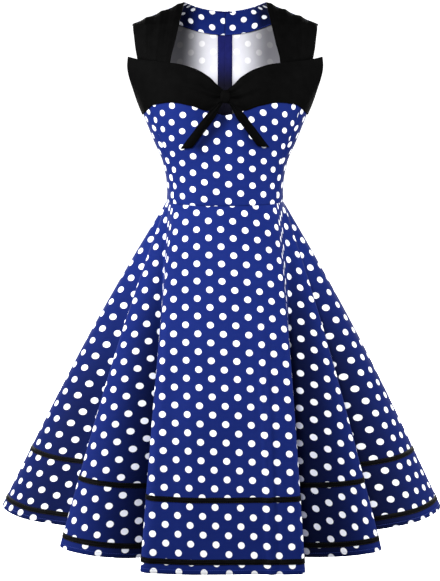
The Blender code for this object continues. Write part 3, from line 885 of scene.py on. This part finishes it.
# ---------------------------------------------------------------- bodice
def front_panel(first_deg, last_deg, columns):
    """A panel of the bodice's front, from the waist up to the bust seam."""
    grid = []
    for v in steps(0, 1, BODICE_ROWS):
        row = []
        for angle in steps(first_deg, last_deg, columns):
            top = smooth_lookup(BUST_SEAM, 1, abs(angle)) + UNDER_CUFF * ease(abs(angle), 9, 17)
            row.append(torso_point(angle, mix(WAIST_Z, top, v)))
        grid.append(row)
    return array_of(grid)


def bodice_shade(points):
    """How much painted shade each point of the front gets from a tie or the keyhole, from 0 to 1."""
    shade = np.zeros(points.shape[:2])
    for *line, width, depth in BODICE_SHADES:
        off = beside_line(points, *line)[1]
        shade = np.maximum(shade, depth * np.exp(-((off / width) ** 2)))
    return shade


def drag_lines(points):
    """Soft creases in the front: a hollow below the bow and lines that fan out from it."""
    lift = np.zeros(points.shape[:2])
    for *line, height, width in DRAG_LINES:
        along, off = beside_line(points, *line)
        ends = (1 - np.abs(along - 0.5) * 2) ** 0.5
        lift += height * ends * np.exp(-((off / width) ** 2))
    return lifted(points, lift)


def back_panel():
    """The wearer's left back, from the side seam to the zip, and up to the shoulder and neckline."""
    angles = steps(90, 180, BACK_COLUMNS)
    grid = [[torso_point(a, z) for a in angles] for z in steps(WAIST_Z, UNDERARM_Z, BACK_ROWS[0])]
    for t in steps(0, 1, BACK_ROWS[1])[1:]:
        v = math.sin(t * math.pi / 2) ** 0.9
        edge = smooth_lookup(ARMHOLE_BACK, 1, mix(UNDERARM_Z, SHOULDER_Z, v))
        row = []
        for angle in angles:
            share = abs(math.sin(math.radians(angle))) ** (2 / RING_POWER)
            outer = ARMHOLE_BACK[-1][1] * share
            top = back_top_z(outer) - SHOULDER_LAP * ease(outer, NECK_HALF - 0.002, NECK_HALF + 0.004)
            row.append(back_point(edge * share, mix(UNDERARM_Z, top, v)))
        grid.append(row)
    points = array_of(grid)
    points[:, -1, 0] = ZIP_HALF_GAP
    return points


def build_bodice():
    front = front_panel(-PRINCESS_DEG, PRINCESS_DEG, FRONT_COLUMNS)
    front = seam_dips(drag_lines(front), left=True, right=True, bottom=True)
    uv = on_print(wrapped(front, FRONT_COLUMNS // 2), *BODICE_PRINT)
    pieces = {"bodice_front": cloth("bodice_front_cloth", front, uv, FABRIC, shade=bodice_shade(front))}
    side = front_panel(PRINCESS_DEG, 90, SIDE_COLUMNS)
    side = seam_dips(side, left=True, right=True, bottom=True)
    back = seam_dips(back_panel(), left=True, bottom=True)
    for part, left_piece, grain in (("side", side, SIDE_COLUMNS // 2), ("back", back, BACK_COLUMNS)):
        for hand, points, column in both_sides(left_piece, grain):
            name = f"bodice_{part}_{hand}"
            pieces[name] = cloth(name + "_cloth", points, wrapped(points, column), BACK_FABRIC)
    return pieces, back


# ---------------------------------------------------------------- straps, cuffs and bow
def strap_points(gathers):
    """The left strap's grid, its lower end first, with these gathers."""
    downs, acrosses = steps(1, 0, STRAP_ROWS), steps(0, 1, STRAP_COLUMNS)
    grid = []
    for t in downs:
        x0, z0, x1, z1 = [smooth_lookup(STRAP, column, t) for column in (1, 2, 3, 4)]
        grid.append([front_point(mix(x0, x1, share), mix(z0, z1, share)) for share in acrosses])
    points = array_of(grid)
    t, share = np.array(downs)[:, None], np.array(acrosses)[None, :]
    lift = np.zeros(points.shape[:2])
    for place, height, end, lean in gathers:
        centre = place + lean * (t - 0.3)
        fade = np.clip((end - t) / 0.2, 0, 1)
        lift += height * fade * np.exp(-(((share - centre) / 0.045) ** 2))
    return lifted(points, lift)


def build_straps():
    pieces = {}
    for side, gathers in zip(("left", "right"), GATHERS):
        points = strap_points(gathers)
        points = points if side == "left" else mirrored(points)
        name = "strap_" + side
        uv = wrapped(points, STRAP_COLUMNS // 2)
        pieces[name] = cloth(name + "_cloth", points, uv, BLACK_CLOTH, *STRAP_CLOTH)
    return pieces


def cuff_point(u, v):
    """The point of the left bust cuff a share u out from the knot and v up from its lower edge."""
    z = mix(smooth_lookup(CUFF, 1, u), smooth_lookup(CUFF, 2, u), v)
    out = mix(smooth_lookup(CUFF, 3, u), smooth_lookup(CUFF, 4, u), v)
    angle = mix(CUFF_START_DEG, mix(*CUFF_END_DEG, v), u)
    away = Vector((math.sin(math.radians(angle)), -math.cos(math.radians(angle)), 0))
    return torso_point(angle, z) + away * out


def build_cuffs():
    """Both cuffs. The right one's creases start a little higher and fade a little further out."""
    pieces = {}
    us = [t**1.25 for t in steps(0, 1, CUFF_COLUMNS)]
    vs = steps(0, 1, CUFF_ROWS)
    base = array_of([[cuff_point(u, v) for u in us] for v in vs])
    u, v = np.array(us)[None, :], np.array(vs)[:, None]
    for side, shift in (("left", 0.0), ("right", 0.035)):
        lift = np.zeros(base.shape[:2])
        for start, end, reach, height in CUFF_CREASES:
            centre = mix(start + shift, end, u / reach)
            fade = np.clip(1 - u / (reach + shift), 0, 1) ** 1.2
            lift += height * fade * np.exp(-(((v - centre) / (0.05 + 0.05 * u / reach)) ** 2))
        points = lifted(base, lift)
        points = points if side == "left" else mirrored(points)
        name = "bust_cuff_" + side
        pieces[name] = cloth(name + "_cloth", points, wrapped(points, 0), BLACK_CLOTH, *CUFF_CLOTH)
    return pieces


def build_knot():
    """The knot is a short roll of cloth, pinched at both ends."""
    middle = cuff_point(0, 0.5)
    width, depth, height = KNOT_SIZE
    shell = bmesh.new()
    rings = []
    for t in steps(0, 1, KNOT_ROWS):
        full = math.cos((t - 0.5) * math.pi * 0.92) ** 0.45
        ring = []
        for i in range(KNOT_SIDES):
            angle = math.pi / 2 - 2 * math.pi * i / KNOT_SIDES
            crease = 1 + 0.07 * math.cos(5 * angle + 3.0 * t) * math.sin(t * math.pi)
            x = math.cos(angle) * width / 2 * full * crease
            y = middle.y - KNOT_OUT - math.sin(angle) * depth / 2 * full * crease
            ring.append(shell.verts.new((x, y, middle.z + (t - 0.5) * height)))
        rings.append(ring)
    for low, high in zip(rings, rings[1:]):
        for i in range(KNOT_SIDES):
            j = (i + 1) % KNOT_SIDES
            shell.faces.new((low[i], low[j], high[j], high[i]))
    shell.faces.new(rings[0][::-1])
    shell.faces.new(rings[-1])
    bmesh.ops.recalc_face_normals(shell, faces=shell.faces)
    layer = shell.loops.layers.uv.new("cut")
    for face in shell.faces:
        for loop in face.loops:
            loop[layer].uv = (loop.vert.co.x, loop.vert.co.z)
    mesh = bpy.data.meshes.new("knot_cloth")
    shell.to_mesh(mesh)
    shell.free()
    mesh.materials.append(BLACK)
    mesh.shade_smooth()
    return linked("knot_cloth", mesh)


def tie_points(side, top_x, top_z, tip_x, tip_z):
    """A tail of the bow. It lies on the bodice, stands off it at the knot, and its tip is cut aslant."""
    run = Vector((tip_x - top_x, 0, tip_z - top_z))
    across = Vector((run.z, 0, -run.x)).normalized() * TIE_WIDTH / 2
    slant = run.normalized() * (0.5 if side == "right" else -0.5) * TIE_WIDTH
    grid = []
    for t in reversed(steps(0, 1, TIE_ROWS)):
        row = []
        for share in reversed(steps(-1, 1, TIE_COLUMNS)):
            place = Vector((top_x, 0, top_z)) + run * t + slant * share * ease(t, 0.85, 1.0)
            place += across * share * mix(0.5, 1.0, ease(t, 0, 0.3))
            lift = 0.0058 + 0.0060 * (1 - t) ** 2
            lift += 0.0010 * math.cos(share * 2.2) + 0.0012 * math.sin(t * 9)
            lift += 0.0010 * math.cos(share * 7.0) * (1 - ease(t, 0.0, 0.5))
            row.append(front_point(place.x, place.z, lift))
        grid.append(row)
    return array_of(grid)


def build_bow():
    pieces = {"knot": build_knot()}
    for side, *ends in TIE_TAILS:
        points = tie_points(side, *ends)
        name = "tie_" + side
        uv = wrapped(points, TIE_COLUMNS // 2)
        pieces[name] = cloth(name + "_cloth", points, uv, BLACK_CLOTH, *STRAP_CLOTH)
    return pieces


# ---------------------------------------------------------------- skirt
def span_at(waist_angle):
    """The span of the plan that starts nearest to that waist angle."""
    return min(range(len(PLAN)), key=lambda i: abs(PLAN[i][0] - waist_angle))


def skirt_pieces():
    """Name, plan spans and grain column of each skirt piece."""
    left, back, right = span_at(90), span_at(180), span_at(270)
    front = [*range(right, len(PLAN) - 1), *range(0, left)]
    return (
        ("front", front, (len(PLAN) - 1 - right) * SKIRT_COLUMNS_PER_SPAN),
        ("back_left", [*range(left, back)], (back - left) * SKIRT_COLUMNS_PER_SPAN),
        ("back_right", [*range(back, right)], 0),
    )


def skirt_shares():
    """Shares of the skirt's length for its rows, from the hem up, with a row at each ribbon's edge, and
    the shares of each ribbon's lower and upper edge."""
    half = RIBBON_WIDTH / 2 / SKIRT_LENGTH
    ribbons = {label: (share + half, share - half) for label, share in RIBBON_SHARES}
    marks = [0.0] + sorted(edge for pair in ribbons.values() for edge in pair) + [1.0]
    shares = []
    for a, b in zip(marks, marks[1:]):
        shares += steps(a, b, max(1, round((b - a) * SKIRT_ROWS)))[:-1]
    return sorted([*shares, 1.0, WAIST_LAP_SHARE], reverse=True), ribbons


def build_skirt():
    shares, ribbons = skirt_shares()
    pieces, grids = {}, {}
    for name, spans, grain in skirt_pieces():
        places = [i / SKIRT_COLUMNS_PER_SPAN for i in range(SKIRT_COLUMNS_PER_SPAN)]
        columns = [hem_plan(span, place) for span in spans for place in places]
        columns.append(hem_plan(spans[-1], 1.0))
        base = array_of([[skirt_base(column, share) for column in columns] for share in shares])
        points = array_of([[skirt_point(column, share) for column in columns] for share in shares])
        flat = unrolled(base, grain)
        if name == "front":
            flat = printed_front(flat, np.array([signed(column[0]) for column in columns]))
        points = seam_dips(points, left=name != "back_right", right=name != "back_left", top=True)
        grids[name] = points
        shade = np.array([[skirt_shade(column, share) for column in columns] for share in shares])
        pieces["skirt_" + name] = cloth(f"skirt_{name}_cloth", points, flat, FABRIC, shade=shade)
        outside = lifted(points, RIBBON_OUT)
        for label, (lower, upper) in ribbons.items():
            first, last = shares.index(lower), shares.index(upper)
            band = outside[first : last + 1]
            node = f"ribbon_{label}_{name}"
            pieces[node] = cloth(node + "_band", band, wrapped(band, 0), (RIBBON,), RIBBON_THICKNESS)
    return pieces, grids, shares, ribbons


# ---------------------------------------------------------------- neck facing and zip
def build_facing():
    """The facing lies inside the top of the back, from behind the strap to the zip. It narrows towards
    the shoulder, and its top edge meets the neckline."""
    shares = steps(0, 1, FACING_ROWS)
    grid = []
    for share in shares:
        row = []
        for x in steps(FACING_HALF, FACING_HALF_GAP, FACING_COLUMNS):
            low = -FACING_LOW + FACING_RISE * (x / NECK_HALF) ** 2
            row.append(back_point(x, mix(low, back_top_z(x), share)))
        grid.append(row)
    points = array_of(grid)
    stands_off = FACING_STANDS_OFF * np.minimum(1, (1 - np.array(shares)) * 4)
    points = lifted(points, -(CLOTH + 0.0001 + stands_off[:, None]))
    points[:, -1, 0] = FACING_HALF_GAP
    pieces = {}
    for (side, grid, column), print_lies in zip(both_sides(points, FACING_COLUMNS), FACING_PRINT):
        name = "neck_facing_" + side
        uv = on_print(wrapped(grid, column), *print_lies)
        # Painted shade at the ends of the facing, by the straps.
        shade = np.clip((np.abs(grid[..., 0]) - FACING_SHADE[0]) / FACING_SHADE[1], 0, 1)
        pieces[name] = cloth(name + "_cloth", grid, uv, (WRONG, DOTTED, DOTTED), FACING_CLOTH, shade=shade)
    return pieces, points


def along_x(points, x):
    """The line of the left back at that x, between the columns of its grid."""
    line = []
    for row in points:
        for a, b in zip(row, row[1:]):
            if b[0] <= x:
                line.append(a + (b - a) * (a[0] - x) / (a[0] - b[0]))
                break
        else:
            line.append(row[-1])
    return np.array(line)


def zip_end(shares):
    """The row of the skirt where the zip ends."""
    return min(range(len(shares)), key=lambda i: abs(shares[i] - ZIP_LAST_SKIRT_SHARE))


def build_zip(back, skirt, shares):
    """Both zip tapes, inside the centre back seam of the bodice and of the top of the skirt."""
    inside = np.concatenate([
        np.stack([along_x(lifted(part, -(CLOTH + TAPE_THICKNESS)), x) for x in TAPE_LINES], axis=1)
        for part in (skirt[zip_end(shares) : -2], back)
    ])
    inside[:, -1, 0] = 0.0
    pieces = {}
    for side, grid in (("left", inside), ("right", mirrored(inside))):
        name = "zip_tape_" + side
        pieces[name] = cloth(name + "_band", grid, wrapped(grid, 0), (TAPE,), TAPE_THICKNESS)
    return pieces


def finish_slider():
    for name in ("zip_slider", "zip_pull"):
        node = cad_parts[name]
        node.data.materials.clear()
        node.data.materials.append(ENAMEL)


# ---------------------------------------------------------------- stitches and zip coil
def repeat_tree(name, across, finish):
    """Geometry Nodes that set a short six-sided thread at equal distances along a curve, lying along the
    curve, or straight across the body."""
    tree = bpy.data.node_groups.new(name, "GeometryNodeTree")
    for label in ("Path", "Spacing", "Length", "Thickness"):
        kind = "NodeSocketGeometry" if label == "Path" else "NodeSocketFloat"
        tree.interface.new_socket(label, in_out="INPUT", socket_type=kind)
    tree.interface.new_socket("Threads", in_out="OUTPUT", socket_type="NodeSocketGeometry")
    given = add(tree, "NodeGroupInput").outputs
    radius = add(tree, "ShaderNodeMath", {"operation": "MULTIPLY"}, i0=given["Thickness"], i1=0.5)
    thread = add(tree, "GeometryNodeMeshCylinder", {"Vertices": 6}, Radius=radius, Depth=given["Length"])
    path, spacing = given["Path"], given["Spacing"]
    places = add(tree, "GeometryNodeCurveToPoints", {"mode": "LENGTH"}, Curve=path, Length=spacing)
    if across:
        thread = add(tree, "GeometryNodeTransform", {"Rotation": (0.0, math.pi / 2, 0.0)}, Geometry=thread)
    turned = {} if across else {"Rotation": places.outputs["Rotation"]}
    threads = add(tree, "GeometryNodeInstanceOnPoints", None, Points=places, Instance=thread, **turned)
    real = add(tree, "GeometryNodeRealizeInstances", None, Geometry=threads)
    real = add(tree, "GeometryNodeSetMaterial", {"Material": finish}, Geometry=real)
    add(tree, "NodeGroupOutput", None, Threads=real)
    return tree


def threads_along(name, paths, sizes, finish, across=False):
    """One mesh of threads along all these paths. sizes are spacing, length and thickness."""
    curve = bpy.data.curves.new(name + "_path", "CURVE")
    curve.dimensions = "3D"
    for path in paths:
        spline = curve.splines.new("POLY")
        spline.points.add(len(path) - 1)
        spline.points.foreach_set("co", np.c_[path, np.ones(len(path))].astype(np.float32).ravel())
    source = linked(name + "_path", curve)
    repeat = source.modifiers.new("threads", "NODES")
    repeat.node_group = repeat_tree(name, across, finish)
    inputs = [item for item in repeat.node_group.interface.items_tree if item.in_out == "INPUT"]
    for item, value in zip(inputs[1:], sizes):
        repeat[item.identifier] = value
    graph = bpy.context.evaluated_depsgraph_get()
    mesh = bpy.data.meshes.new_from_object(source.evaluated_get(graph), depsgraph=graph)
    bpy.data.objects.remove(source)
    bpy.data.curves.remove(curve)
    mesh.name = name
    return linked(name, mesh)


def row_between(points, first, last, share, lift):
    """A row of the grid between two of its rows, raised off the cloth."""
    raised = lifted(points, lift)
    return raised[first] * (1 - share) + raised[last] * share


def build_threads(skirt, shares, ribbons, facing, back):
    """The rows of stitches that show, and the coil of the zip in the slit at the centre back."""
    ribbon_rows, hem_rows = [], []
    for points in skirt.values():
        for lower, upper in ribbons.values():
            first, last = shares.index(lower), shares.index(upper)
            for share in RIBBON_STITCH_SHARES:
                ribbon_rows.append(row_between(points, first, last, share, RIBBON_OUT + STITCH_OUT))
        hem_rows.append(row_between(points, 0, 1, HEM_STITCH_SHARE, STITCH_OUT))
    facing_row = row_between(facing, 0, 1, HEM_STITCH_SHARE, -CLOTH)
    facing_rows = [facing_row, facing_row * np.array((-1.0, 1.0, 1.0))]
    last_row = zip_end(shares)
    low_slit = lifted(skirt["back_left"], -COIL_DEPTH)[last_row:-2, -1]
    slit = np.concatenate([low_slit, lifted(back, -COIL_DEPTH)[:-3, -1]])
    slit[:, 0] = 0.0
    zip_rows = []
    for part in (skirt["back_left"][last_row:-2], back[:-1]):
        beside = along_x(lifted(part, STITCH_OUT), ZIP_STITCHES_X)
        zip_rows += [beside, beside * np.array((-1.0, 1.0, 1.0))]
    return {
        "ribbon_stitches": threads_along("ribbon_stitches", ribbon_rows, RIBBON_STITCH, BLACK_THREAD),
        "hem_stitches": threads_along("hem_stitches", hem_rows, HEM_STITCH, BLUE_THREAD),
        "facing_stitches": threads_along("facing_stitches", facing_rows, FACING_STITCH, BLUE_THREAD),
        "zip_coil": threads_along("zip_coil", [slit], ZIP_COIL, COIL, across=True),
        "zip_stitches": threads_along("zip_stitches", zip_rows, RIBBON_STITCH, BLUE_THREAD),
    }


# ---------------------------------------------------------------- camera, light and floor
def build_stage():
    aim = Vector(CAMERA_AIM)
    above = math.radians(CAMERA_ABOVE_DEG)
    camera = linked("camera", bpy.data.cameras.new("camera"))
    camera.location = aim + Vector((0, -math.cos(above), math.sin(above))) * CAMERA_DISTANCE
    camera.rotation_euler = (aim - camera.location).to_track_quat("-Z", "Y").to_euler()
    camera.data.lens = CAMERA_LENS
    bpy.context.scene.camera = camera

    world = bpy.data.worlds.new("studio")
    bpy.context.scene.world = world
    world.use_nodes = True
    world.node_tree.nodes["Background"].inputs["Color"].default_value = linear("#ffffff")
    world.node_tree.nodes["Background"].inputs["Strength"].default_value = WORLD_STRENGTH

    for name, kind, place, aim, size, power in LAMPS:
        lamp = bpy.data.lights.new(name, kind)
        lamp.energy = power
        if kind == "SPOT":
            lamp.shadow_soft_size = size
            lamp.spot_size = math.radians(KEY_CONE_DEG)
            lamp.spot_blend = 1.0
        else:
            lamp.size = size
        made = linked(name, lamp)
        made.location = place
        made.rotation_euler = (Vector(aim) - made.location).to_track_quat("-Z", "Y").to_euler()

    # A lit white floor and a lit white room around it. The lamps above light the dress, not these.
    paper, _, shader = new_material("lit_white_paper", 0.9, 0.0)
    shader.inputs["Base Color"].default_value = linear("#ffffff")
    shader.inputs["Emission Color"].default_value = linear("#ffffff")
    shader.inputs["Emission Strength"].default_value = 1.0
    for name, low, high in (
        ("floor", (-8, -8, -1.36), (8, 8, -1.35)),
        ("room", (-20, -20, -20), (20, 20, 20)),
    ):
        shape = bmesh.new()
        for vert in bmesh.ops.create_cube(shape, size=1.0)["verts"]:
            vert.co = [a if c < 0 else b for a, b, c in zip(low, high, vert.co)]
        mesh = bpy.data.meshes.new(name)
        shape.to_mesh(mesh)
        shape.free()
        mesh.materials.append(paper)
        made = linked(name, mesh)
        made.visible_diffuse = made.visible_glossy = made.visible_shadow = False


# ---------------------------------------------------------------- putting it together
bpy.context.scene.view_settings.view_transform = "Standard"
build_stage()
pieces, back_grid = build_bodice()
pieces.update(build_straps())
pieces.update(build_cuffs())
pieces.update(build_bow())
skirt, skirt_grids, skirt_rows, ribbon_rows = build_skirt()
pieces.update(skirt)
facing, facing_grid = build_facing()
pieces.update(facing)
pieces.update(build_zip(back_grid, skirt_grids["back_left"], skirt_rows))
finish_slider()

SLOTS = dict.fromkeys(("ribbon", "strap", "bust", "tie", "knot"), "black_cotton")
for node, piece in pieces.items():
    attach(piece, "dress")
    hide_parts(node)

threads = build_threads(skirt_grids, skirt_rows, ribbon_rows, facing_grid, back_grid)
for name, piece in threads.items():
    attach(piece, "dress")
